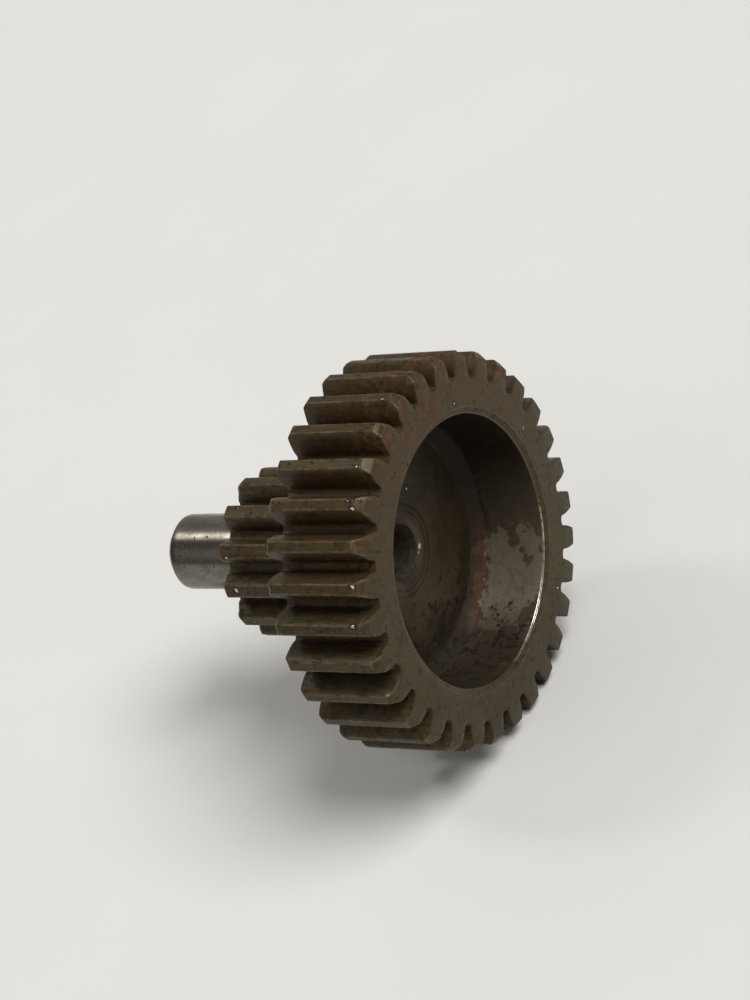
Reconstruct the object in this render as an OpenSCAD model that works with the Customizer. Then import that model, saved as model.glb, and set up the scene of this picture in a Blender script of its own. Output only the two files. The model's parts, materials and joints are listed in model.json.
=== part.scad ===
// Cluster gear: a cup-shaped spur wheel and a small pinion on one ground journal shaft.
// The gear axis lies along Y. The wheel's open face is at Y = 0 and faces -Y, the journal
// points to +Y, and +Z is up, through the middle of one wheel tooth. All sizes are in mm.

/* [Teeth] */
// Module of both sets of teeth: pitch diameter divided by the number of teeth
tooth_module = 1.5; // [1.5:0.25:2]
// Pressure angle of the involute flanks, in degrees
pressure_angle = 20; // [18:0.5:22]
// Radius at the foot of each flank, in modules
foot_radius = 0.3; // [0.15:0.05:0.3]

/* [Cup wheel] */
// Number of teeth on the wheel
wheel_teeth = 31; // [31:2:37]
// Height of a wheel tooth above the pitch circle, in modules
wheel_addendum = 1; // [0.7:0.05:1]
// Depth of a wheel gap below the pitch circle, in modules
wheel_dedendum = 1.35; // [1:0.05:1.4]
// Thickness of a wheel tooth on the pitch circle, as a share of the tooth pitch
wheel_tooth_share = 0.54; // [0.48:0.01:0.56]
// Face width of the wheel, along its axis
wheel_width = 13.6; // [12:0.1:18]
// Tip chamfer at the open face, measured along the radius
front_chamfer_r = 0.9; // [0.2:0.1:1.3]
// Tip chamfer at the open face, measured along the axis
front_chamfer_y = 1; // [0.2:0.1:2]
// Tip chamfer at the back face
back_chamfer = 0.5; // [0.2:0.1:1]

/* [Recess] */
// Diameter of the recess in the open face
recess_d = 33.8; // [26:0.2:35]
// Thickness of the web left behind the recess
web_thickness = 2.9; // [2:0.1:5]
// 45 degree fill in the corner between the recess wall and its floor
corner_fill = 1.6; // [0.8:0.1:3]
// Bevel at the mouth of the recess, measured along the radius
mouth_bevel_r = 0.8; // [0.2:0.1:1]
// Bevel at the mouth of the recess, measured along the axis
mouth_bevel_y = 0.5; // [0.2:0.1:1]

/* [Pinion] */
// Number of teeth on the pinion
pinion_teeth = 13; // [13:1:15]
// Height of a pinion tooth above the pitch circle, in modules
pinion_addendum = 0.8; // [0.7:0.05:1]
// Depth of a pinion gap below the pitch circle, in modules
pinion_dedendum = 1.05; // [0.9:0.05:1.1]
// Thickness of a pinion tooth on the pitch circle, as a share of the tooth pitch
pinion_tooth_share = 0.58; // [0.5:0.01:0.59]
// Angle from the wheel's top tooth to the next pinion tooth, turning from +Z towards +X
pinion_turn = 7.6; // [0:0.1:27]
// Length of the toothed part, from the wheel's back face
pinion_length = 18.5; // [12:0.1:26]
// Tip chamfer at the free end of the pinion
pinion_chamfer = 0.7; // [0.3:0.1:1.2]
// Radius, at the free end, of the 45 degree cone that bevels the flanks of each gap
end_bevel = 2.5; // [2:0.1:2.6]
// Diameter of the collar that sits in the web
collar_d = 12; // [11.5:0.25:13]

/* [Journal shaft] */
// Diameter of the ground journal
journal_d = 10; // [9.5:0.1:10.2]
// Diameter of the press seat inside the gears
seat_d = 10.4; // [10.3:0.1:10.8]
// Length of the journal that stands out of the pinion
journal_length = 13.4; // [8:0.1:25]
// Chamfer at the journal's free end
journal_chamfer = 1.1; // [0.3:0.1:1.5]
// Diameter of the hole in the shaft's end at the recess floor
hole_d = 6.8; // [4:0.1:7]
// Depth of that hole's straight wall, dish included
hole_depth = 16; // [8:0.5:22]
// Diameter of the shallow dish round that hole
dish_d = 8.2; // [7.5:0.1:9]
// Depth of the dish
dish_depth = 0.25; // [0.1:0.05:0.5]
// Diameter of the lathe centre in the journal's end
centre_d = 2.5; // [1:0.25:3]
// Depth of the lathe centre's straight part
centre_depth = 4; // [2:0.5:6]
// Mouth diameter of the lathe centre's cone
centre_mouth_d = 4.4; // [3.5:0.1:5]

/* [Hidden] */
$fn = 96;
overrun = 1;
tip_overrun = 0.3;
top_angle = -90;
flank_steps = 6;
bevel_offset = 0.65;
drill_half_angle = 59;
centre_half_angle = 30;
centre_cone_depth = (centre_mouth_d - centre_d) / 2 / tan(centre_half_angle);
recess_depth = wheel_width - web_thickness;
pinion_end = wheel_width + pinion_length;
shaft_end = pinion_end + journal_length;

// The involute function of a pressure angle, in degrees.
function involute(angle) = tan(angle) * 180 / PI - angle;

function pitch_radius(teeth) = teeth * tooth_module / 2;
function base_radius(teeth) = pitch_radius(teeth) * cos(pressure_angle);

// Half of one tooth's angle at radius r: involute outside the base circle, radial inside it.
function half_tooth(teeth, share, r) =
    180 / teeth * share + involute(pressure_angle)
    - involute(acos(min(1, base_radius(teeth) / r)));

function on_circle(r, angle) = [r * cos(angle), r * sin(angle)];

// One side of a tooth as [radius, half angle] pairs, from the root circle out past the tip.
function tooth_side(teeth, share, root_r, tip_r) =
    let (
        foot = foot_radius * tooth_module,
        foot_r = root_r + foot,
        foot_half = half_tooth(teeth, share, foot_r),
        top_r = tip_r + tip_overrun
    )
    concat(
        [for (a = [90:-30:30]) [
            foot_r - foot * sin(a),
            foot_half + foot * (1 - cos(a)) / foot_r * 180 / PI
        ]],
        [for (i = [0:flank_steps])
            let (r = foot_r + (top_r - foot_r) * i / flank_steps)
            [r, half_tooth(teeth, share, r)]
        ]
    );

// The outline of a gear with one side of a tooth given, and a tooth centred on `phase`.
module gear_outline(teeth, side, phase) {
    count = len(side);
    polygon([
        for (tooth = [0:teeth - 1])
            let (middle = phase + tooth * 360 / teeth)
            for (k = [0:2 * count - 1])
                k < count
                    ? on_circle(side[k][0], middle - side[k][1])
                    : on_circle(side[2 * count - 1 - k][0], middle + side[2 * count - 1 - k][1])
    ]);
}

// Teeth cut into a turned blank, so that the tip lands are true cylinders. The blank's outline
// starts and ends on the axis.
module toothed_blank(teeth, side, phase, blank) {
    low = blank[0][1];
    high = blank[len(blank) - 1][1];
    intersection() {
        rotate_extrude()
            polygon(blank);
        translate([0, 0, low - overrun])
            linear_extrude(high - low + 2 * overrun)
                gear_outline(teeth, side, phase);
    }
}

// Turns a shape built along Z so that its axis lies along +Y and its -Y side faces up.
module along_y() {
    rotate([-90, 0, 0])
        children();
}

// The turned space inside the wheel: mouth bevel, straight wall, filled corner, flat floor.
module recess_space() {
    r = recess_d / 2;
    rotate_extrude()
        polygon([
            [0, -overrun],
            [r + mouth_bevel_r, -overrun],
            [r + mouth_bevel_r, 0],
            [r, mouth_bevel_y],
            [r, recess_depth - corner_fill],
            [r - corner_fill, recess_depth],
            [0, recess_depth]
        ]);
}

module cup_wheel() {
    tip = pitch_radius(wheel_teeth) + wheel_addendum * tooth_module;
    root = pitch_radius(wheel_teeth) - wheel_dedendum * tooth_module;
    color([0.34, 0.31, 0.29])
        along_y()
            difference() {
                toothed_blank(
                    wheel_teeth,
                    tooth_side(wheel_teeth, wheel_tooth_share, root, tip),
                    top_angle,
                    [
                        [0, 0],
                        [tip - front_chamfer_r, 0],
                        [tip, front_chamfer_y],
                        [tip, wheel_width - back_chamfer],
                        [tip - back_chamfer, wheel_width],
                        [0, wheel_width]
                    ]
                );
                recess_space();
                cylinder(h = wheel_width + overrun, d = collar_d);
            }
}

// Cones that bevel the ends of the flanks in every gap at the pinion's free end.
module flank_bevels(tip) {
    for (gap = [0:pinion_teeth - 1])
        rotate([0, 0, top_angle + pinion_turn + (gap + 0.5) * 360 / pinion_teeth])
            translate([tip + bevel_offset, 0, pinion_end - end_bevel])
                cylinder(h = end_bevel + overrun, r1 = 0, r2 = end_bevel + overrun);
}

module pinion() {
    tip = pitch_radius(pinion_teeth) + pinion_addendum * tooth_module;
    root = pitch_radius(pinion_teeth) - pinion_dedendum * tooth_module;
    color([0.28, 0.25, 0.23])
        along_y()
            difference() {
                union() {
                    toothed_blank(
                        pinion_teeth,
                        tooth_side(pinion_teeth, pinion_tooth_share, root, tip),
                        top_angle + pinion_turn,
                        [
                            [0, wheel_width],
                            [tip, wheel_width],
                            [tip, pinion_end - pinion_chamfer],
                            [tip - pinion_chamfer, pinion_end],
                            [0, pinion_end]
                        ]
                    );
                    translate([0, 0, recess_depth])
                        cylinder(h = web_thickness + overrun, d = collar_d);
                }
                translate([0, 0, recess_depth - overrun])
                    cylinder(h = shaft_end, d = seat_d);
                flank_bevels(tip);
            }
}

// A drilled hole along +Z from z = 0, with a conical mouth and a drill point.
module drilled_hole(d, depth, mouth_d, mouth_depth) {
    point_depth = d / 2 / tan(drill_half_angle);
    translate([0, 0, -overrun])
        cylinder(h = depth + overrun, d = d);
    translate([0, 0, depth])
        cylinder(h = point_depth, d1 = d, d2 = 0);
    cylinder(h = mouth_depth, d1 = mouth_d, d2 = d);
}

module journal_shaft() {
    r = journal_d / 2;
    color([0.74, 0.74, 0.72])
        along_y()
            difference() {
                rotate_extrude()
                    polygon([
                        [0, recess_depth],
                        [seat_d / 2, recess_depth],
                        [seat_d / 2, pinion_end],
                        [r, pinion_end],
                        [r, shaft_end - journal_chamfer],
                        [r - journal_chamfer, shaft_end],
                        [0, shaft_end]
                    ]);
                translate([0, 0, recess_depth])
                    drilled_hole(hole_d, hole_depth, dish_d, dish_depth);
                translate([0, 0, shaft_end])
                    mirror([0, 0, 1])
                        drilled_hole(centre_d, centre_depth, centre_mouth_d, centre_cone_depth);
            }
}

cup_wheel();
pinion();
journal_shaft();
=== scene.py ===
"""The looks of the cluster gear: worn, rust-spotted gear teeth on a ground journal shaft.

Lengths are in metres, apart from the sizes in the materials, which are in millimetres. The gear
axis lies along Y, and an angle round it starts at +Z and turns towards +X. Each of the three CAD
nodes is replaced by a finer mesh of the same shape.
"""

import json
import math
from dataclasses import dataclass

import bpy
import numpy as np
from mathutils import Matrix, Vector


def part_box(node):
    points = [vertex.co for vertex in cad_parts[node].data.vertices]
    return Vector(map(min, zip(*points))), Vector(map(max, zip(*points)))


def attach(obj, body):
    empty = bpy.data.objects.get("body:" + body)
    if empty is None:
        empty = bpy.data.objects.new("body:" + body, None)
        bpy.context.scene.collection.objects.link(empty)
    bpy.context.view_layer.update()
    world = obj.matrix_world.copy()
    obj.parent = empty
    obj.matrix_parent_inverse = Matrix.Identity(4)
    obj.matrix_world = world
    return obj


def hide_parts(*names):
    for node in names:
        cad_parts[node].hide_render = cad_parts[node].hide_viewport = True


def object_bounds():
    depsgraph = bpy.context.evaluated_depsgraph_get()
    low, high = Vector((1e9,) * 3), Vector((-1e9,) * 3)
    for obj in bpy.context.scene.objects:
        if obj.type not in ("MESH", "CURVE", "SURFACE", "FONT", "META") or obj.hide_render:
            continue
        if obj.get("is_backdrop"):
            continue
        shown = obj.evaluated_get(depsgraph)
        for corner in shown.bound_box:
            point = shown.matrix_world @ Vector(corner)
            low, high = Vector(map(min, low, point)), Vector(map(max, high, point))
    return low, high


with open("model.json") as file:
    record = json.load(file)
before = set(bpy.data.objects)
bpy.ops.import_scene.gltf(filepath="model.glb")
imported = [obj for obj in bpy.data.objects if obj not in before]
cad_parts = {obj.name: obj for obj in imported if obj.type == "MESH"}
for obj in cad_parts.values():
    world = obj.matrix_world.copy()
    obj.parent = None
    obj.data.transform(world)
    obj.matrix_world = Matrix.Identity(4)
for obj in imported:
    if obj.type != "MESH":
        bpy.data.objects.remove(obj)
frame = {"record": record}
cad_low, cad_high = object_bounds()

MM = 0.001

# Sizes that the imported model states.
MOUNTS = {mount["name"]: mount for mount in frame["record"]["mounts"]}
RECESS_R = MOUNTS["recess"]["dims"]["r_mm"] * MM
HOLE_R = MOUNTS["centre_bore"]["dims"]["r_mm"] * MM
JOURNAL_R = MOUNTS["journal"]["dims"]["r_mm"] * MM
WHEEL_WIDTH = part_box("cup_wheel")[1].y
WHEEL_TIP_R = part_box("cup_wheel")[1].z
FLOOR_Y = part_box("journal_shaft")[0].y
PINION_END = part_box("pinion")[1].y
SHAFT_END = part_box("journal_shaft")[1].y
SEAT_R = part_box("journal_shaft")[1].x

# Teeth, as the design has them. A chamfer is a pair: along the radius, along the axis.
MODULE = 1.5 * MM
PRESSURE_ANGLE = math.radians(20)
FOOT_RADIUS = 0.3 * MODULE
WHEEL_TEETH = 31
WHEEL_DEDENDUM = 1.35 * MODULE
WHEEL_TOOTH_SHARE = 0.54
FRONT_CHAMFER = (0.9 * MM, 1.0 * MM)
BACK_CHAMFER = (0.5 * MM, 0.5 * MM)
PINION_TEETH = 13
PINION_ADDENDUM = 0.8 * MODULE
PINION_DEDENDUM = 1.05 * MODULE
PINION_TOOTH_SHARE = 0.58
PINION_TURN = math.radians(7.6)
PINION_CHAMFER = (0.7 * MM, 0.7 * MM)
PLAIN_END = (0.05 * MM, 0.05 * MM)
FLANK_BEVEL = 0.65 * MM

# Turned surfaces, as the design has them.
COLLAR_R = 6 * MM
CORNER_FILL = 1.6 * MM
MOUTH_BEVEL_R = 0.8 * MM
MOUTH_BEVEL_Y = 0.5 * MM
DISH_R = 4.1 * MM
DISH_DEPTH = 0.25 * MM
HOLE_DEPTH = 16 * MM
JOURNAL_CHAMFER = 1.1 * MM
CENTRE_R = 1.25 * MM
CENTRE_MOUTH_R = 2.2 * MM
CENTRE_DEPTH = 4 * MM
DRILL_HALF_ANGLE = math.radians(59)
CENTRE_HALF_ANGLE = math.radians(30)

# The finish of the real thing: broken edges, fine seams, tool marks and dents.
EDGE_BREAK = 0.08 * MM
SEAM = 0.03 * MM
TOOL_MARK = 0.008 * MM
GROOVE_DEPTH = 0.018 * MM
DENT_RADIUS = 0.34 * MM
DENT_DEPTH = 0.12 * MM
DENT_STRETCH = 2.4

# The meshes: the spacing of the rings along the teeth, how far inside a gear's root circle the
# first circle on its faces lies, the points round the shaft, and the radius of the smallest ring
# where a surface ends on the axis.
TOOTH_RING_SPACING = 0.75 * MM
FACE_MARGIN = 0.3 * MM
SHAFT_POINTS = 256
AXIS_R = 0.05 * MM

# Places along a chamfer, as shares of its length, and how much each is rubbed bright.
CHAMFER_STATIONS = ((0.09, 0.6), (0.3, 0.52), (0.6, 0.52), (0.88, 0.6), (0.96, 0.85), (1.04, 0.85))


def involute(angle):
    return math.tan(angle) - angle


@dataclass
class Gear:
    """One set of spur teeth, with its sizes in metres and its angles in radians."""

    teeth: int
    tip_r: float
    root_r: float
    share: float
    turn: float

    @property
    def pitch(self):
        """The angle from one tooth to the next."""
        return 2 * math.pi / self.teeth

    def half_tooth(self, r):
        """Half of one tooth's angle at radius r."""
        base_r = self.teeth * MODULE / 2 * math.cos(PRESSURE_ANGLE)
        slope = math.acos(min(1.0, base_r / r))
        return math.pi / self.teeth * self.share + involute(PRESSURE_ANGLE) - involute(slope)


WHEEL = Gear(
    teeth=WHEEL_TEETH,
    tip_r=WHEEL_TIP_R,
    root_r=WHEEL_TEETH * MODULE / 2 - WHEEL_DEDENDUM,
    share=WHEEL_TOOTH_SHARE,
    turn=0.0,
)
PINION = Gear(
    teeth=PINION_TEETH,
    tip_r=PINION_TEETH * MODULE / 2 + PINION_ADDENDUM,
    root_r=PINION_TEETH * MODULE / 2 - PINION_DEDENDUM,
    share=PINION_TOOTH_SHARE,
    turn=PINION_TURN,
)


# --- Meshes made of rings -----------------------------------------------------------------


@dataclass
class Ring:
    """One closed row of points. `wear` is how much each point is rubbed bright, and `slot` is
    the material of the band between this ring and the next."""

    points: np.ndarray
    wear: np.ndarray
    slot: int = 0


def polar(r, angle, y):
    """Points from radii and angles, at one place along the axis."""
    return np.stack([r * np.sin(angle), np.full_like(angle, y), r * np.cos(angle)], axis=1)


def outward_at(angle):
    """Unit vector that points away from the gear axis."""
    return np.array([math.sin(angle), 0.0, math.cos(angle)])


def turned(count, profile, slot, turn):
    """Circles of `count` points through the points (r, y, wear) of a turned profile."""
    angle = turn + np.arange(count) * 2 * math.pi / count
    return [
        Ring(polar(np.full(count, r), angle, y), np.full(count, float(wear)), slot)
        for r, y, wear in profile
    ]


def tooth_side(gear, top_r):
    """From the middle of a gap to the middle of a tooth: radius, angle off the tooth's middle
    and wear of each point. The tooth is cut off at top_r."""
    half_pitch = math.pi / gear.teeth
    foot_r = gear.root_r + FOOT_RADIUS
    foot_half = gear.half_tooth(foot_r)
    foot_start = foot_half + FOOT_RADIUS / foot_r
    rows = []
    for t in (0, 1 / 2):
        rows.append((gear.root_r, half_pitch + (foot_start - half_pitch) * t, 0.0))
    for a in (math.pi / 2, math.pi / 3, math.pi / 6):
        r = foot_r - FOOT_RADIUS * math.sin(a)
        rows.append((r, foot_half + FOOT_RADIUS * (1 - math.cos(a)) / foot_r, 0.0))
    flank_top = top_r - EDGE_BREAK
    for t in np.linspace(0, 1, 7):
        r = foot_r + (flank_top - foot_r) * t
        rows.append((r, gear.half_tooth(r), 0.5 * max(0.0, t * 4 - 3)))
    top_half = gear.half_tooth(top_r)
    rows.append((top_r - 0.3 * EDGE_BREAK, top_half - 0.3 * EDGE_BREAK / top_r, 1.0))
    land_half = top_half - EDGE_BREAK / top_r
    rows.append((top_r, land_half, 0.8))
    for t in (1 / 3, 2 / 3, 1):
        rows.append((top_r, land_half * (1 - t), 0.25))
    return rows


def gear_outline(gear, top_r):
    """The whole outline of a gear: radii, angles and wear."""
    side = tooth_side(gear, top_r)
    left = [(r, -a, w) for r, a, w in side]
    right = [(r, a, w) for r, a, w in side[-2:0:-1]]
    tooth = np.array(left + right)
    middles = gear.turn + np.arange(gear.teeth) * gear.pitch
    angle = (middles[:, None] + tooth[None, :, 1]).ravel()
    return np.tile(tooth[:, 0], gear.teeth), angle, np.tile(tooth[:, 2], gear.teeth)


def gear_ring(gear, top_r, y, inset=0.0, edge_wear=0.0, bevel=0.0):
    """The outline at one place along the axis, pulled in by `inset` where an end is rounded.
    `bevel` narrows the outer part of each tooth."""
    r, angle, wear = gear_outline(gear, top_r)
    height = (r - gear.root_r) / (gear.tip_r - gear.root_r)
    if bevel:
        off_middle = (angle - gear.turn + gear.pitch / 2) % gear.pitch - gear.pitch / 2
        half = np.vectorize(gear.half_tooth)(r)
        angle = angle - off_middle * bevel / (r * half) * np.clip((height - 0.25) / 0.3, 0, 1)
    points = polar(r, angle, y)
    if inset:
        along = np.roll(points, -1, axis=0) - np.roll(points, 1, axis=0)
        outward = np.stack([-along[:, 2], np.zeros(len(r)), along[:, 0]], axis=1)
        outward /= np.linalg.norm(outward, axis=1)[:, None]
        outward *= np.sign(np.sum(outward * points * [1, 0, 1]))
        points = points - outward * inset
    return Ring(points, np.maximum(wear, edge_wear * height))


def spread_to_circle(ring, gear, radii, y):
    """Flat rings that lead from a gear's outline to circles, with evenly spaced points."""
    count = len(ring.points)
    start = np.arctan2(ring.points[:, 0], ring.points[:, 2])
    even = gear.turn - math.pi / gear.teeth + np.arange(count) * 2 * math.pi / count
    offset = (even - start + math.pi) % (2 * math.pi) - math.pi
    rings = []
    for k, r in enumerate(radii):
        share = min(1.0, (k + 1) / 2)
        points = polar(np.full(count, r), start + offset * share, y)
        rings.append(Ring(points, np.zeros(count)))
    return rings


def chamfered_end(gear, end, chamfer, bevel, inward):
    """Rings from an end face over its chamfer and onto the teeth. `inward` is 1 at the low end
    and -1 at the high end, and `bevel` is how far the flanks are cut back."""
    radial, axial = chamfer
    corner_r = gear.tip_r - radial * 0.97
    rings = [
        gear_ring(gear, gear.tip_r - radial, end, 0.6 * EDGE_BREAK, 0.45, bevel),
        gear_ring(gear, corner_r, end + inward * 0.4 * EDGE_BREAK, 0, 0.8, bevel * 0.94),
    ]
    for t, edge_wear in CHAMFER_STATIONS:
        cut = radial * max(0.0, 1 - t - 0.02 * math.sin(min(t, 1) * math.pi))
        narrow = bevel * max(0.0, 1 - t * axial / FLANK_BEVEL)
        y = end + inward * axial * t
        rings.append(gear_ring(gear, gear.tip_r - cut, y, 0, edge_wear, narrow))
    y = end + inward * chamfer_reach(chamfer)
    rings.append(gear_ring(gear, gear.tip_r, y, 0, 0.3))
    return rings


def chamfer_reach(chamfer):
    """How far from the end face the teeth are plain again."""
    return chamfer[1] * 1.06 + 2 * EDGE_BREAK


def tooth_stations(gear, low, high, low_chamfer, high_chamfer, high_bevel=0.0):
    """Rings from one end of a gear's teeth to the other, with both ends chamfered."""
    start = low + chamfer_reach(low_chamfer)
    stop = high - chamfer_reach(high_chamfer)
    steps = max(2, round((stop - start) / TOOTH_RING_SPACING))
    body = [gear_ring(gear, gear.tip_r, y) for y in np.linspace(start, stop, steps + 1)[1:-1]]
    low_end = chamfered_end(gear, low, low_chamfer, 0.0, 1)
    high_end = chamfered_end(gear, high, high_chamfer, high_bevel, -1)
    return low_end + body + high_end[::-1]


def loft(name, rings, closed):
    """A mesh of quads between successive rings. If it isn't closed, each end is a fan."""
    count = len(rings[0].points)
    points = [ring.points for ring in rings]
    wear = [ring.wear for ring in rings]
    step = np.arange(count)
    after = (step + 1) % count
    faces = []
    slots = []
    pairs = len(rings) if closed else len(rings) - 1
    for k in range(pairs):
        a = k * count
        b = (k + 1) % len(rings) * count
        faces += np.stack([a + step, a + after, b + after, b + step], axis=1).tolist()
        slots += [rings[k].slot] * count
    if not closed:
        first = len(rings) * count
        last = first + 1
        end = first - count
        points.append([rings[0].points.mean(axis=0), rings[-1].points.mean(axis=0)])
        wear.append([0.0, 0.0])
        faces += np.stack([np.full(count, first), after, step], axis=1).tolist()
        slots += [rings[0].slot] * count
        faces += np.stack([np.full(count, last), end + step, end + after], axis=1).tolist()
        slots += [rings[-1].slot] * count
    mesh = bpy.data.meshes.new(name)
    mesh.from_pydata(np.concatenate(points).tolist(), [], faces)
    mesh.polygons.foreach_set("material_index", slots)
    wear_mark = mesh.attributes.new("wear", "FLOAT", "POINT")
    wear_mark.data.foreach_set("value", np.concatenate(wear))
    mesh.attributes.new("dent", "FLOAT", "POINT")
    mesh.validate()
    piece = bpy.data.objects.new(name, mesh)
    bpy.context.scene.collection.objects.link(piece)
    return piece


def dent(piece, places):
    """Pushes shallow dents into the mesh and marks them. Each has its place, the way it is
    pushed, the line it is stretched along and its size."""
    mesh = piece.data
    count = len(mesh.vertices)
    points = np.empty(count * 3)
    mesh.vertices.foreach_get("co", points)
    points = points.reshape(count, 3)
    mark = np.zeros(count)
    for place, way, line, size in places:
        off = points - place
        lengthwise = off @ line
        squared = np.sum(off**2, axis=1) - (1 - 1 / DENT_STRETCH**2) * lengthwise**2
        near = np.clip(1 - squared / (DENT_RADIUS * size) ** 2, 0, None) ** 1.5
        points += near[:, None] * np.asarray(way)[None, :] * DENT_DEPTH * size
        mark = np.maximum(mark, near)
    mesh.vertices.foreach_set("co", points.ravel())
    mesh.attributes["dent"].data.foreach_set("value", mark)


def slanted(outward, slope):
    """Unit vector that lies on a cylinder's surface and leans away from the axis's direction."""
    line = np.array([outward[2] * slope, 1.0, -outward[0] * slope])
    return line / np.linalg.norm(line)


def finish_mesh(piece, materials, node):
    """Smooth shading with crisp edges, materials, and the piece's place in the frame."""
    for material in materials:
        piece.data.materials.append(material)
    piece.data.update()
    for polygon in piece.data.polygons:
        polygon.use_smooth = True
    piece.data.set_sharp_from_angle(angle=math.radians(38))
    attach(piece, "root")
    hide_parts(node)


# --- Materials ----------------------------------------------------------------------------


class Shader:
    """A node tree with short calls for the few node types that the materials need."""

    def __init__(self, name):
        self.material = bpy.data.materials.new(name)
        self.material.use_nodes = True
        self.nodes = self.material.node_tree.nodes
        self.links = self.material.node_tree.links
        self.principled = self.nodes["Principled BSDF"]
        self.place = self.nodes.new("ShaderNodeTexCoord").outputs["Object"]

    def feed(self, socket, value):
        """Links a socket to the input, or sets a plain number or colour on it."""
        if isinstance(value, bpy.types.NodeSocket):
            self.links.new(value, socket)
        else:
            socket.default_value = value

    def math(self, operation, a, b=0.0):
        node = self.nodes.new("ShaderNodeMath")
        node.operation = operation
        self.feed(node.inputs[0], a)
        self.feed(node.inputs[1], b)
        return node.outputs[0]

    def product(self, a, b):
        return self.math("MULTIPLY", a, b)

    def larger(self, a, b):
        return self.math("MAXIMUM", a, b)

    def plus(self, a, b, factor):
        """a + b * factor."""
        return self.math("ADD", a, self.product(b, factor))

    def scaled(self, factors):
        """The coordinates in millimetres, each axis times its factor."""
        node = self.nodes.new("ShaderNodeVectorMath")
        node.operation = "MULTIPLY"
        self.links.new(self.place, node.inputs[0])
        node.inputs[1].default_value = [f / MM for f in factors]
        return node.outputs[0]

    def noise(self, size_mm, detail=4.0, roughness=0.55, stretch=(1, 1, 1)):
        """Noise whose blobs are about size_mm across."""
        node = self.nodes.new("ShaderNodeTexNoise")
        node.inputs["Scale"].default_value = 1.0
        node.inputs["Detail"].default_value = detail
        node.inputs["Roughness"].default_value = roughness
        self.feed(node.inputs["Vector"], self.scaled([s / size_mm for s in stretch]))
        return node.outputs["Fac"]

    def cells(self, size_mm, stretch=(1, 1, 1)):
        """Distance to the nearest of scattered points about size_mm apart, from 0."""
        node = self.nodes.new("ShaderNodeTexVoronoi")
        node.inputs["Scale"].default_value = 1.0
        self.feed(node.inputs["Vector"], self.scaled([s / size_mm for s in stretch]))
        return node.outputs["Distance"]

    def lines(self, value, size_mm, detail=3.0):
        """Noise that changes only with one number, such as the radius: tool marks."""
        node = self.nodes.new("ShaderNodeTexNoise")
        node.noise_dimensions = "1D"
        node.inputs["Scale"].default_value = 1 / size_mm
        node.inputs["Detail"].default_value = detail
        self.feed(node.inputs["W"], value)
        return node.outputs["Fac"]

    def remap(self, value, low, high, to_low=0.0, to_high=1.0):
        """Turns low into to_low and high into to_high, smoothly and never past them."""
        node = self.nodes.new("ShaderNodeMapRange")
        node.interpolation_type = "SMOOTHSTEP"
        self.feed(node.inputs["Value"], value)
        node.inputs["From Min"].default_value = low
        node.inputs["From Max"].default_value = high
        node.inputs["To Min"].default_value = to_low
        node.inputs["To Max"].default_value = to_high
        return node.outputs["Result"]

    def mix(self, factor, a, b):
        """Colour a where factor is 0 and colour b where it is 1."""
        node = self.nodes.new("ShaderNodeMix")
        node.data_type = "RGBA"
        self.feed(node.inputs["Factor"], factor)
        self.feed(node.inputs[6], colour(a))
        self.feed(node.inputs[7], colour(b))
        return node.outputs[2]

    def radius(self):
        """Distance from the gear axis, in millimetres."""
        split = self.nodes.new("ShaderNodeSeparateXYZ")
        self.links.new(self.place, split.inputs[0])
        x2 = self.product(split.outputs["X"], split.outputs["X"])
        z2 = self.product(split.outputs["Z"], split.outputs["Z"])
        return self.math("DIVIDE", self.math("SQRT", self.math("ADD", x2, z2)), MM)

    def axial(self):
        """Distance along the gear axis from the wheel's open face, in millimetres."""
        split = self.nodes.new("ShaderNodeSeparateXYZ")
        self.links.new(self.place, split.inputs[0])
        return self.math("DIVIDE", split.outputs["Y"], MM)

    def along(self, way):
        """Distance from the gear axis in one direction, in millimetres."""
        node = self.nodes.new("ShaderNodeVectorMath")
        node.operation = "DOT_PRODUCT"
        self.links.new(self.place, node.inputs[0])
        node.inputs[1].default_value = [w / MM for w in way]
        return node.outputs["Value"]

    def mark(self, name):
        """One of the mesh's own marks: "wear" or "dent"."""
        node = self.nodes.new("ShaderNodeAttribute")
        node.attribute_name = name
        return node.outputs["Fac"]

    def bump(self, height, depth_mm, normal=None):
        """Relief of the given depth, on top of another normal if there is one."""
        node = self.nodes.new("ShaderNodeBump")
        node.inputs["Strength"].default_value = 1.0
        node.inputs["Distance"].default_value = depth_mm * MM
        self.links.new(height, node.inputs["Height"])
        if normal is not None:
            self.links.new(normal, node.inputs["Normal"])
        return node.outputs["Normal"]

    def finish(self, base, metallic, roughness, normal, specular=0.5):
        self.feed(self.principled.inputs["Base Color"], base)
        self.feed(self.principled.inputs["Metallic"], metallic)
        self.feed(self.principled.inputs["Roughness"], roughness)
        self.links.new(normal, self.principled.inputs["Normal"])
        self.principled.inputs["Specular IOR Level"].default_value = specular
        return self.material


def colour(value):
    """A colour of three numbers gets its alpha, and a socket stays as it is."""
    return value if isinstance(value, bpy.types.NodeSocket) else (*value, 1.0)


# Colours of the oxidised gears.
DARK_STEEL = (0.032, 0.023, 0.010)
BROWN_STEEL = (0.068, 0.044, 0.020)
OLIVE_STEEL = (0.057, 0.046, 0.019)
WARM_STEEL = (0.068, 0.038, 0.013)
WORN_STEEL = (0.160, 0.128, 0.080)
BRIGHT_STEEL = (0.80, 0.77, 0.70)
RUST = (0.130, 0.054, 0.019)
DARK_RUST = (0.062, 0.035, 0.015)
SOOT = (0.009, 0.0065, 0.0045)

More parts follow.
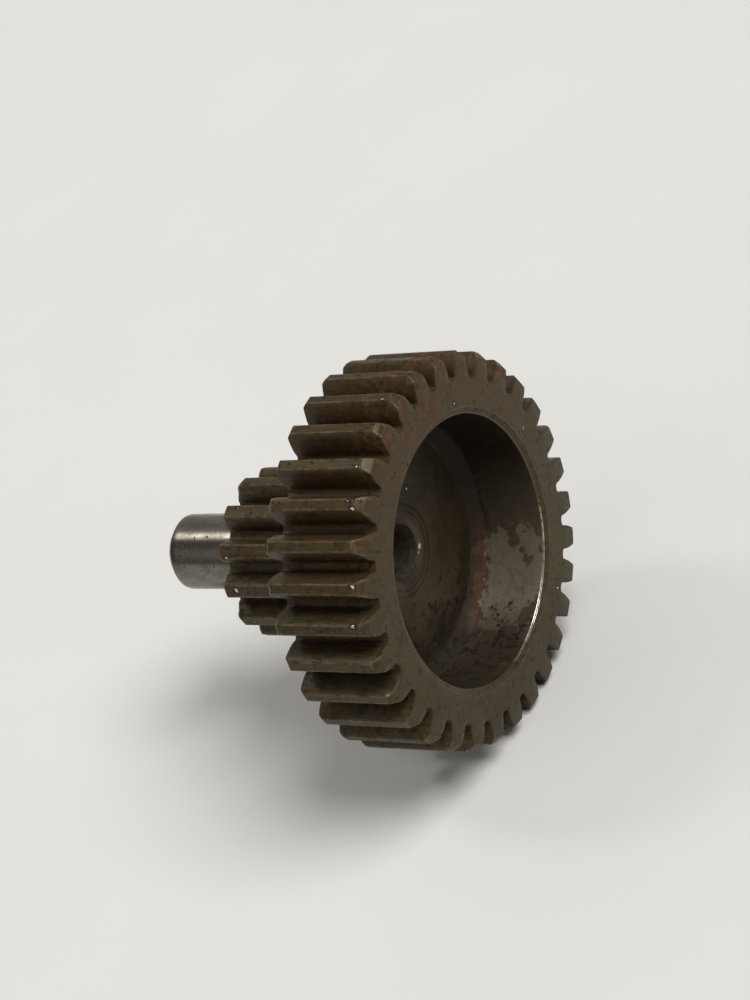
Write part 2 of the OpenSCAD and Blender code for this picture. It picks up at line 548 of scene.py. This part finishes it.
# Colours of the recess: its wall, its floor, and the dirt in both. The clean steel is also painted
# lighter where light falls, and the shaded wall and floor colours are painted shade.
CLEAN_AND_LIT_STEEL = (0.225, 0.190, 0.135)
FILMED_STEEL = (0.108, 0.086, 0.057)
SHADED_WALL = (0.020, 0.015, 0.009)
GRIMY_WALL = (0.046, 0.035, 0.021)
BROWN_FLOOR = (0.056, 0.041, 0.022)
DARK_FLOOR = (0.032, 0.022, 0.012)
SHADED_FLOOR = (0.024, 0.018, 0.011)
MOTTLE = (0.036, 0.026, 0.014)
CORNER_DIRT = (0.024, 0.017, 0.009)
CORNER_RUST = (0.058, 0.023, 0.010)

# Colours of the hole, the journal and the rubbed edge of the recess mouth, which is painted
# brighter on the lit side as a painted highlight.
HOLE_GREY = (0.230, 0.195, 0.155)
HOLE_BROWN = (0.120, 0.096, 0.074)
STAINED_GROUND = (0.148, 0.134, 0.106)
PALE_GROUND = (0.232, 0.214, 0.178)
GRINDING_MARK = (0.10, 0.088, 0.070)
PIT = (0.020, 0.016, 0.012)
DULL_EDGE = (0.10, 0.08, 0.055)
RUBBED_AND_LIT_EDGE = (0.55, 0.52, 0.45)

# Where the marks gather, as directions from the gear axis. The clean side is also the side where
# light is painted on the recess, with painted shade away from it.
RUSTY_SIDE = (0.2, 0.0, 0.98)
CLEAN_AND_LIT_SIDE = (0.53, 0.0, -0.85)
DIRTY_SIDE = (-0.2, 0.0, -0.98)
RUSTY_CORNER = (0.61, 0.0, -0.79)


def oxide_film(s, middle, streaks):
    """Brown and olive patches over dark steel, with pale streaks and dark grain."""
    tone = s.plus(s.product(middle, 0.65), s.noise(4.0, 4, 0.55), 0.35)
    film = s.mix(s.remap(s.noise(1.8, 5, 0.6), 0.42, 0.58), OLIVE_STEEL, BROWN_STEEL)
    base = s.mix(s.remap(tone, 0.38, 0.54), DARK_STEEL, film)
    base = s.mix(s.remap(streaks, 0.45, 0.70, 0, 0.30), base, WORN_STEEL)
    return s.mix(s.remap(s.noise(0.16, 3, 0.6), 0.60, 0.35, 0, 0.28), base, DARK_STEEL)


def rusted(s, base, side_pull, end_pull, offset):
    """A warm tone and patches of rust over a base colour, and where the patches are."""
    side = s.along(RUSTY_SIDE)
    warm = s.remap(s.plus(s.noise(5.0, 4, 0.5), side, side_pull), 0.45, 0.80, 0, 0.45)
    base = s.mix(warm, base, WARM_STEEL)
    bloom = s.plus(s.noise(3.4, 4, 0.52), side, side_pull)
    bloom = s.math("ADD", s.plus(bloom, s.axial(), end_pull), offset)
    broken_up = s.remap(s.noise(1.0, 5, 0.64), 0.36, 0.56, 0.15, 1.0)
    patches = s.product(s.remap(bloom, 0.66, 0.78), broken_up)
    rust = s.mix(s.remap(s.noise(1.3, 5, 0.62), 0.44, 0.60), DARK_RUST, RUST)
    return s.mix(s.product(patches, 0.90), base, rust), patches


def oxidised_steel(name, side_pull, end_pull, offset):
    """Dark, oxidised gear steel: brown and olive film, rust, dark stains, rubbed edges with small
    bright nicks, and fine cutting marks along the teeth. Rust grows by side_pull per millimetre
    towards RUSTY_SIDE and by end_pull per millimetre along the axis, from an offset."""
    s = Shader(name)
    middle = s.noise(1.0, 6, 0.64)
    streaks = s.noise(0.22, 4, 0.6, stretch=(1, 0.07, 1))
    base = oxide_film(s, middle, streaks)
    base, rust = rusted(s, base, side_pull, end_pull, offset)

    small_stains = s.remap(s.noise(0.9, 7, 0.72), 0.56, 0.62)
    stain = s.product(small_stains, s.remap(s.noise(3.6, 4), 0.44, 0.54))
    base = s.mix(s.product(stain, 0.70), base, SOOT)

    wear = s.mark("wear")
    patchy = s.remap(s.noise(1.4, 5, 0.62), 0.42, 0.60, 0.10, 1.0)
    rubbed = s.product(s.remap(wear, 0.25, 1.0), patchy)
    base = s.mix(s.product(rubbed, 0.75), base, WORN_STEEL)

    ragged = s.remap(s.noise(0.35, 4, 0.6), 0.2, 0.8, 0.5, 1.5)
    knock = s.product(s.mark("dent"), ragged)
    base = s.mix(s.remap(knock, 0.05, 0.40, 0, 0.70), base, SOOT)
    specks = s.remap(s.cells(1.9, stretch=(1.4, 0.6, 1.4)), 0.13, 0.08)
    nick = s.product(specks, s.remap(wear, 0.60, 0.85, 0, 0.40))
    nick = s.larger(nick, s.remap(knock, 0.62, 0.80))
    base = s.mix(nick, base, BRIGHT_STEEL)

    dull = s.larger(rust, stain)
    metallic = s.larger(s.product(s.math("SUBTRACT", 1.0, dull), 0.32), nick)
    roughness = s.plus(s.remap(middle, 0.3, 0.7, 0.36, 0.50), dull, 0.25)
    roughness = s.math("SUBTRACT", roughness, s.product(nick, 0.1))
    normal = s.bump(s.noise(0.35, 5, 0.6), 0.022)
    normal = s.bump(streaks, 0.008, normal)
    normal = s.bump(s.lines(s.radius(), 0.16), 0.005, normal)
    normal = s.bump(s.larger(stain, rust), -0.02, normal)
    return s.finish(base, metallic, roughness, normal, 0.22)


def wall_film_and_light(s):
    """The recess wall: clean and painted lighter in one ragged patch where light falls, with
    painted shade away from it, and darker with grime at the bottom.
    """
    side = s.along(CLEAN_AND_LIT_SIDE)
    clean_and_lit_tide = s.plus(s.noise(3.2, 7, 0.62), side, 0.10)
    # The clean patch is painted lighter on the side where light falls.
    base = s.mix(s.remap(clean_and_lit_tide, 2.10, 2.07), CLEAN_AND_LIT_STEEL, FILMED_STEEL)
    # Painted shade on the wall, away from the lit side.
    base = s.mix(s.remap(side, 15.5, 6), base, SHADED_WALL)
    base = s.mix(s.remap(s.along(DIRTY_SIDE), 13.5, 16.5, 0, 0.8), base, GRIMY_WALL)
    return s.mix(s.remap(s.noise(0.9, 6, 0.65), 0.42, 0.66, 0, 0.28), base, MOTTLE)


def floor_film_and_shade(s, film):
    """The flat end of the recess: a brown film, with painted shade away from the clean, lit side.
    """
    base = s.mix(s.remap(film, 0.44, 0.56), BROWN_FLOOR, DARK_FLOOR)
    # Painted shade on the flat faces, away from the lit side.
    base = s.mix(s.remap(s.along(CLEAN_AND_LIT_SIDE), 2, -12, 0, 0.6), base, SHADED_FLOOR)
    return s.mix(s.remap(s.noise(0.9, 6, 0.65), 0.42, 0.66, 0, 0.55), base, MOTTLE)


def corner_dirt(s, base):
    """Dirt in the corner of the recess, rusty on one side, and where it is."""
    near_corner = s.remap(s.radius(), RECESS_R / MM - 1.9, RECESS_R / MM - 1.5)
    deep = s.remap(s.plus(s.axial(), s.noise(1.4, 7, 0.7), 5.0), 10.8, 11.5)
    corner = s.product(near_corner, deep)
    gathered = s.product(
        s.remap(s.along(RUSTY_CORNER), 14.2, 15.8),
        s.remap(s.plus(s.noise(1.6, 7, 0.72), s.radius(), 0.16), 2.96, 3.10),
    )
    dirt = s.mix(gathered, CORNER_DIRT, CORNER_RUST)
    return s.mix(s.product(corner, 0.85), base, dirt), corner


def soot_marks(s, low, high):
    """Spots, thin scrawls and blots, which gather on the dirty side. Raising `low` and `high`
    leaves fewer of them."""
    grime = s.plus(s.noise(2.6, 6, 0.66), s.along(DIRTY_SIDE), 0.030)
    spots = s.remap(s.cells(0.9, stretch=(1, 0.75, 1)), 0.20, 0.12)
    contour = s.math("ABSOLUTE", s.math("SUBTRACT", s.noise(1.8, 8, 0.72), 0.5))
    scrawl = s.remap(contour, 0.012, 0.004)
    blots = s.remap(s.plus(s.noise(1.3, 8, 0.74), s.along(DIRTY_SIDE), 0.003), 0.57, 0.61)
    return s.product(s.larger(s.larger(spots, scrawl), blots), s.remap(grime, low, high))


def recess_steel(name, flat):
    """The turned recess: a brown film, soot, tool marks, and dull rust in its corner, with painted
    light and shade. A `flat` face has ring marks and painted shade away from the lit side, and a
    wall has marks round it, a clean patch painted lighter where light falls, and painted shade away
    from it. Bright specks, and painted highlights on dents."""
    s = Shader(name)
    film = s.noise(6.0, 6, 0.58)
    marks = s.lines(s.radius() if flat else s.axial(), 0.25)
    base = floor_film_and_shade(s, film) if flat else wall_film_and_light(s)
    base = s.mix(s.remap(marks, 0.42, 0.72, 0, 0.12), base, WORN_STEEL)
    base, corner = corner_dirt(s, base)
    soot = soot_marks(s, 0.76, 0.84) if flat else soot_marks(s, 0.94, 1.02)
    base = s.mix(s.product(soot, 0.85), base, SOOT)
    # Bright specks, and a painted highlight on the dents of the dish.
    flake_and_highlight = s.remap(s.cells(5.5, stretch=(1.5, 0.5, 1)), 0.035, 0.025)
    flake_and_highlight = s.larger(flake_and_highlight, s.remap(s.mark("dent"), 0.45, 0.90, 0, 0.6))
    base = s.mix(flake_and_highlight, base, BRIGHT_STEEL)
    roughness = s.plus(s.remap(film, 0.4, 0.6, 0.34, 0.48), s.larger(corner, soot), 0.30)
    normal = s.bump(marks, 0.008 if flat else 0.004)
    normal = s.bump(s.noise(0.35, 5, 0.6), 0.015, normal)
    normal = s.bump(soot, 0.010, normal)
    return s.finish(base, 0.40, roughness, normal, 0.35)


def hole_steel(name):
    """The bore of the shaft's hole: grey-brown steel with a dull sheen."""
    s = Shader(name)
    stain = s.noise(1.6, 6, 0.64)
    base = s.mix(s.remap(stain, 0.38, 0.64), HOLE_GREY, HOLE_BROWN)
    roughness = s.remap(stain, 0.3, 0.7, 0.30, 0.44)
    normal = s.bump(s.noise(0.4, 5, 0.6), 0.015)
    normal = s.bump(s.lines(s.axial(), 0.2), 0.004, normal)
    return s.finish(base, 0.6, roughness, normal)


def ground_steel(name):
    """The ground journal: grey steel with fine marks round it, faint stains and small pits."""
    s = Shader(name)
    marks = s.lines(s.axial(), 0.06, 5)
    stain = s.noise(2.4, 6, 0.62, stretch=(1, 0.6, 1))
    base = s.mix(s.remap(stain, 0.35, 0.68), STAINED_GROUND, PALE_GROUND)
    base = s.mix(s.remap(marks, 0.35, 0.75, 0, 0.25), base, GRINDING_MARK)
    pits = s.product(
        s.remap(s.cells(0.75), 0.24, 0.15),
        s.remap(s.noise(2.0, 5, 0.66), 0.44, 0.50),
    )
    base = s.mix(s.product(pits, 0.9), base, PIT)
    metallic = s.remap(pits, 0.0, 1.0, 1.0, 0.25)
    roughness = s.remap(stain, 0.3, 0.7, 0.30, 0.22)
    normal = s.bump(marks, 0.0020)
    normal = s.bump(pits, -0.03, normal)
    return s.finish(base, metallic, roughness, normal)


def rubbed_and_lit_steel(name):
    """The inner edge of the recess mouth: rubbed steel, painted brighter on the lit side as a
    painted highlight.
    """
    s = Shader(name)
    # Painted highlight: the edge is made darker away from the lit side.
    away = s.remap(s.along(CLEAN_AND_LIT_SIDE), 14.5, 10.5, 0, 0.4)
    rub_and_highlight = s.math("SUBTRACT", s.noise(2.2, 6, 0.64), away)
    base = s.mix(s.remap(rub_and_highlight, 0.40, 0.60), DULL_EDGE, RUBBED_AND_LIT_EDGE)
    roughness = s.remap(rub_and_highlight, 0.3, 0.7, 0.40, 0.24)
    normal = s.bump(s.noise(0.3, 4, 0.6), 0.008)
    return s.finish(base, 1.0, roughness, normal)


# --- The wheel ----------------------------------------------------------------------------

# Places in the wheel's list of materials.
WHEEL_SLOT, WALL_SLOT, FLOOR_SLOT, MOUTH_SLOT = range(4)


def wheel_floor():
    """The recess floor, from the collar out to the corner, with faint turned waves."""
    end_r = RECESS_R - CORNER_FILL
    floor = [
        (r, FLOOR_Y + TOOL_MARK * math.sin(r / MM * 4.3), 0)
        for r in np.linspace(COLLAR_R + 0.3 * MM, end_r - 0.35 * MM, 24)
    ]
    floor.append((end_r - 0.25 * MM, FLOOR_Y - 0.03 * MM, 0))
    floor.append((end_r - 0.02 * MM, FLOOR_Y - 0.04 * MM, 0))
    return floor


def wheel_wall():
    """The filled corner of the recess, a little hollow, and the straight wall up to the mouth."""
    start_r = RECESS_R - CORNER_FILL
    wall_end = FLOOR_Y - CORNER_FILL
    corner = []
    for t in (0.08, 0.3, 0.55, 0.8, 0.95):
        hollow = 0.06 * MM * math.sin(t * math.pi)
        corner.append((start_r + CORNER_FILL * t, FLOOR_Y - CORNER_FILL * t + hollow, 0))
    ys = np.linspace(wall_end - 0.1 * MM, MOUTH_BEVEL_Y + 0.06 * MM, 6)
    return corner + [(RECESS_R, y, 0) for y in ys]


def mouth_edge():
    """The narrow edge between the recess wall and the mouth bevel."""
    return [
        (RECESS_R + 0.02 * MM, MOUTH_BEVEL_Y, 1),
        (RECESS_R + 0.12 * MM, MOUTH_BEVEL_Y - 0.09 * MM, 1),
        (RECESS_R + 0.22 * MM, MOUTH_BEVEL_Y - 0.12 * MM, 1),
    ]


def mouth_bevel():
    """The bevel of the mouth, with turned grooves, out to the open face."""
    grooves = 6 * math.pi
    bevel = [
        (
            RECESS_R + MOUTH_BEVEL_R * t,
            MOUTH_BEVEL_Y * (1 - t) + GROOVE_DEPTH * math.sin(t * grooves),
            0.25 + 0.3 * math.cos(t * grooves),
        )
        for t in np.linspace(0.3, 0.96, 12)
    ]
    return bevel + [(RECESS_R + MOUTH_BEVEL_R + SEAM, 0.0, 0.7)]


def make_wheel():
    teeth = tooth_stations(WHEEL, 0.0, WHEEL_WIDTH, FRONT_CHAMFER, BACK_CHAMFER)
    count = len(teeth[0].points)
    turn = WHEEL.turn - WHEEL.pitch / 2
    first_r = WHEEL.root_r - FACE_MARGIN
    back_radii = [first_r, *np.linspace(20.5, 10, 4) * MM]
    front_radii = [first_r, *np.linspace(20.5, 18, 6) * MM]
    web_hole = [(COLLAR_R, WHEEL_WIDTH, 0.3), (COLLAR_R, FLOOR_Y, 0.5)]
    rings = (
        teeth
        + spread_to_circle(teeth[-1], WHEEL, back_radii, WHEEL_WIDTH)
        + turned(count, web_hole + wheel_floor(), FLOOR_SLOT, turn)
        + turned(count, wheel_wall(), WALL_SLOT, turn)
        + turned(count, mouth_edge(), MOUTH_SLOT, turn)
        + turned(count, mouth_bevel(), WHEEL_SLOT, turn)
        + spread_to_circle(teeth[0], WHEEL, front_radii, 0.0)[::-1]
    )
    piece = loft("wheel_body", rings, closed=True)
    dent(piece, list(wheel_dents()))
    materials = [
        oxidised_steel("wheel_steel", side_pull=0.012, end_pull=-0.011, offset=-0.05),
        recess_steel("recess_wall_steel", flat=False),
        recess_steel("recess_floor_steel", flat=True),
        rubbed_and_lit_steel("mouth_steel"),
    ]
    finish_mesh(piece, materials, "cup_wheel")


def wheel_dents():
    """Knocks on the front corners of the teeth, and a few on the open face."""
    rng = np.random.default_rng(11)
    for tooth in range(WHEEL.teeth):
        middle = tooth * WHEEL.pitch
        for side in (-1, 1):
            if rng.random() < 0.6:
                angle = middle + side * WHEEL.half_tooth(WHEEL.tip_r) * rng.uniform(0.1, 0.95)
                outward = outward_at(angle)
                place = outward * WHEEL.tip_r + [0, rng.uniform(1.0, 2.4) * MM, 0]
                line = slanted(outward, rng.uniform(-1.6, 1.6))
                yield place, -outward, line, rng.uniform(0.7, 1.1)
    for _ in range(7):
        outward = outward_at(rng.uniform(0, 2 * math.pi))
        place = outward * rng.uniform(17.8, 21.5) * MM
        yield place, np.array([0, 1.0, 0]), outward, rng.uniform(0.5, 0.8)


# --- The pinion ---------------------------------------------------------------------------

# Places in the pinion's list of materials.
PINION_SLOT, COLLAR_SLOT = range(2)


def make_pinion():
    teeth = tooth_stations(
        PINION, WHEEL_WIDTH, PINION_END, PLAIN_END, PINION_CHAMFER, FLANK_BEVEL
    )
    count = len(teeth[0].points)
    turn = PINION.turn - PINION.pitch / 2
    first_r = PINION.root_r - FACE_MARGIN
    end_radii = [first_r, 7.2 * MM, 6.4 * MM, 5.6 * MM]
    start_radii = [first_r, 7.0 * MM]
    bore = [(SEAT_R, PINION_END, 0.2), (SEAT_R, FLOOR_Y, 0.2)]
    collar = [
        (SEAT_R + 0.02 * MM, FLOOR_Y, 0.2),
        (5.6 * MM, FLOOR_Y, 0),
        (COLLAR_R - SEAM, FLOOR_Y, 0.1),
        (COLLAR_R, FLOOR_Y + 0.02 * MM, 0.1),
        (COLLAR_R, WHEEL_WIDTH, 0),
    ]
    rings = (
        teeth
        + spread_to_circle(teeth[-1], PINION, end_radii, PINION_END)
        + turned(count, bore, PINION_SLOT, turn)
        + turned(count, collar, COLLAR_SLOT, turn)
        + spread_to_circle(teeth[0], PINION, start_radii, WHEEL_WIDTH)[::-1]
    )
    piece = loft("pinion_body", rings, closed=True)
    dent(piece, list(pinion_dents()))
    materials = [
        oxidised_steel("pinion_steel", side_pull=0.0, end_pull=0.045, offset=-1.32),
        recess_steel("collar_steel", flat=True),
    ]
    finish_mesh(piece, materials, "pinion")


def pinion_dents():
    """Knocks near the free ends of the pinion's teeth."""
    rng = np.random.default_rng(5)
    for tooth in range(PINION.teeth):
        middle = PINION.turn + tooth * PINION.pitch
        for _ in range(2):
            angle = middle + PINION.half_tooth(PINION.tip_r) * rng.uniform(-0.9, 0.9)
            outward = outward_at(angle)
            place = outward * PINION.tip_r + [0, PINION_END - rng.uniform(0.9, 2.6) * MM, 0]
            line = slanted(outward, rng.uniform(-0.9, 0.9))
            yield place, -outward, line, rng.uniform(0.6, 1.0)


# --- The shaft ----------------------------------------------------------------------------

# Places in the shaft's list of materials.
GROUND_SLOT, HOLE_SLOT, END_SLOT = range(3)


def shaft_hole():
    """The hole, from the drill's point up to the dish."""
    bottom = FLOOR_Y + HOLE_DEPTH
    point = bottom + HOLE_R / math.tan(DRILL_HALF_ANGLE)
    ys = np.linspace(bottom, FLOOR_Y + DISH_DEPTH + 0.1 * MM, 12)
    return [(AXIS_R, point, 0)] + [(HOLE_R, y, 0) for y in ys]


def shaft_dish():
    """The dish round the hole and the flat ring outside it, flush with the recess floor."""
    dish = FLOOR_Y + DISH_DEPTH
    return [
        (HOLE_R + SEAM, dish, 0),
        (HOLE_R + 0.12 * MM, dish - 0.04 * MM, 0),
        (HOLE_R + 0.3 * MM, dish - 0.1 * MM, 0),
        (HOLE_R + 0.5 * MM, dish - 0.17 * MM, 0),
        (DISH_R - 0.05 * MM, FLOOR_Y + SEAM, 0),
        (DISH_R + 0.04 * MM, FLOOR_Y, 0),
        (4.3 * MM, FLOOR_Y, 0),
        (4.5 * MM, FLOOR_Y, 0),
        (4.8 * MM, FLOOR_Y, 0),
        (SEAT_R - SEAM, FLOOR_Y, 0),
    ]


def shaft_outside():
    """The seat, the journal, its chamfered end and the lathe centre in it."""
    chamfer_y = SHAFT_END - JOURNAL_CHAMFER
    end_r = JOURNAL_R - JOURNAL_CHAMFER
    cone = (CENTRE_MOUTH_R - CENTRE_R) / math.tan(CENTRE_HALF_ANGLE)
    centre_end = SHAFT_END - CENTRE_DEPTH
    centre_point = centre_end - CENTRE_R / math.tan(DRILL_HALF_ANGLE)
    return [
        (SEAT_R, FLOOR_Y + 0.02 * MM, 0),
        (SEAT_R, PINION_END, 0),
        (JOURNAL_R + SEAM, PINION_END, 0),
        (JOURNAL_R, PINION_END + 0.02 * MM, 0),
        *[(JOURNAL_R, y, 0) for y in np.linspace(PINION_END, chamfer_y, 16)[1:-1]],
        (JOURNAL_R, chamfer_y - 0.1 * MM, 0),
        (JOURNAL_R - SEAM, chamfer_y + SEAM, 0),
        (end_r + 0.05 * MM, SHAFT_END - 0.05 * MM, 0),
        (end_r - 0.05 * MM, SHAFT_END, 0),
        (CENTRE_MOUTH_R + 0.05 * MM, SHAFT_END, 0),
        (CENTRE_MOUTH_R, SHAFT_END - 0.05 * MM, 0),
        (CENTRE_R, SHAFT_END - cone, 0),
        (CENTRE_R, centre_end, 0),
        (AXIS_R, centre_point, 0),
    ]


def make_shaft():
    rings = (
        turned(SHAFT_POINTS, shaft_hole(), HOLE_SLOT, 0.0)
        + turned(SHAFT_POINTS, shaft_dish(), END_SLOT, 0.0)
        + turned(SHAFT_POINTS, shaft_outside(), GROUND_SLOT, 0.0)
    )
    piece = loft("journal_body", rings, closed=False)
    dent(piece, list(dish_highlight_dents()))
    materials = [
        ground_steel("journal_steel"),
        hole_steel("hole_steel"),
        recess_steel("end_steel", flat=True),
    ]
    finish_mesh(piece, materials, "journal_shaft")


def dish_highlight_dents():
    """Two knocks on the dish, on the clean, lit side of the recess; their bright marks are a
    painted highlight on the hole's edge.
    """
    for degrees, r, size in ((123, 3.90, 1.2), (134, 3.74, 0.8)):
        outward = outward_at(math.radians(degrees))
        place = outward * r * MM + [0, FLOOR_Y + 0.05 * MM, 0]
        yield place, np.array([0, 0.4, 0]), slanted(outward, 3.0), size


# --- Floor, lights and camera -------------------------------------------------------------

FLOOR_COLOUR = (0.785, 0.785, 0.757)
FLOOR_HALF = 3.0
FLOOR_CORNERS = ((-1, -1), (1, -1), (1, 1), (-1, 1))

WARM_WHITE = (1.0, 0.985, 0.97)
WHITE = (1.0, 1.0, 1.0)
ROOM_COLOUR = (1.0, 0.99, 0.96)
ROOM_STRENGTH = 0.12

# The camera's direction from the object, its roll, and the point at the picture's centre.
CAMERA_AZIMUTH = -47.05
CAMERA_ELEVATION = 32.5
CAMERA_ROLL = -27.5
CAMERA_DISTANCE = 306.7 * MM
CAMERA_TARGET = Vector((-1.04, 9.96, 9.45)) * MM
CAMERA_LENS = 89.75
CAMERA_SENSOR = 36


def make_floor():
    """A pale sheet under the lowest teeth, with a faint unevenness."""
    points = [(x * FLOOR_HALF, y * FLOOR_HALF, cad_low.z) for x, y in FLOOR_CORNERS]
    mesh = bpy.data.meshes.new("floor")
    mesh.from_pydata(points, [], [(0, 1, 2, 3)])
    floor = bpy.data.objects.new("floor", mesh)
    bpy.context.scene.collection.objects.link(floor)
    s = Shader("floor_paper")
    shade = s.remap(s.noise(40, 4, 0.5), 0.3, 0.7)
    base = s.mix(shade, FLOOR_COLOUR, [c * 1.02 for c in FLOOR_COLOUR])
    s.finish(base, 0.0, 0.75, s.bump(s.noise(0.5, 4), 0.01))
    mesh.materials.append(s.material)
    floor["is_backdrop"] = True


def direction(azimuth, elevation):
    """Unit vector at an azimuth from -Y towards +X and an elevation above the floor, in degrees."""
    a = math.radians(azimuth)
    e = math.radians(elevation)
    return Vector((math.sin(a) * math.cos(e), -math.cos(a) * math.cos(e), math.sin(e)))


def soft_light(name, azimuth, elevation, width, strength, tint):
    """An even light from far away, `width` degrees across, so its shadows are soft."""
    light = bpy.data.lights.new(name, "SUN")
    light.angle = math.radians(width)
    light.energy = strength
    light.color = tint
    lamp = bpy.data.objects.new(name, light)
    bpy.context.scene.collection.objects.link(lamp)
    lamp.location = direction(azimuth, elevation)
    lamp.rotation_mode = "QUATERNION"
    lamp.rotation_quaternion = direction(azimuth, elevation).to_track_quat("Z", "Y")


def make_lights():
    """A broad soft light in front, weaker ones behind and to the sides, and a dim room."""
    soft_light("main_light", azimuth=7, elevation=57, width=36, strength=2.38, tint=WARM_WHITE)
    soft_light("back_light", azimuth=180, elevation=55, width=14, strength=0.36, tint=WHITE)
    soft_light("left_light", azimuth=-100, elevation=35, width=60, strength=0.48, tint=WARM_WHITE)
    soft_light("rear_light", azimuth=133, elevation=33, width=60, strength=0.26, tint=WARM_WHITE)
    world = bpy.data.worlds.new("room")
    bpy.context.scene.world = world
    world.use_nodes = True
    background = world.node_tree.nodes["Background"]
    background.inputs["Color"].default_value = colour(ROOM_COLOUR)
    background.inputs["Strength"].default_value = ROOM_STRENGTH


def make_camera():
    """Looks at the object from the front left and above, with a roll."""
    lens = bpy.data.cameras.new("camera")
    lens.lens = CAMERA_LENS
    lens.sensor_width = CAMERA_SENSOR
    lens.clip_start = 0.01
    lens.clip_end = 10
    camera = bpy.data.objects.new("camera", lens)
    bpy.context.scene.collection.objects.link(camera)
    away = direction(CAMERA_AZIMUTH, CAMERA_ELEVATION)
    facing = (-away).to_track_quat("-Z", "Y").to_matrix().to_4x4()
    roll = Matrix.Rotation(math.radians(CAMERA_ROLL), 4, "Z")
    place = Matrix.Translation(CAMERA_TARGET + away * CAMERA_DISTANCE)
    camera.matrix_world = place @ facing @ roll
    bpy.context.scene.camera = camera


bpy.context.scene.view_settings.view_transform = "Standard"
make_camera()
make_lights()
make_floor()
make_wheel()
make_pinion()
make_shaft()

new_low, new_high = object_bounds()
[list(corner) for corner in (cad_low, cad_high, new_low, new_high)]
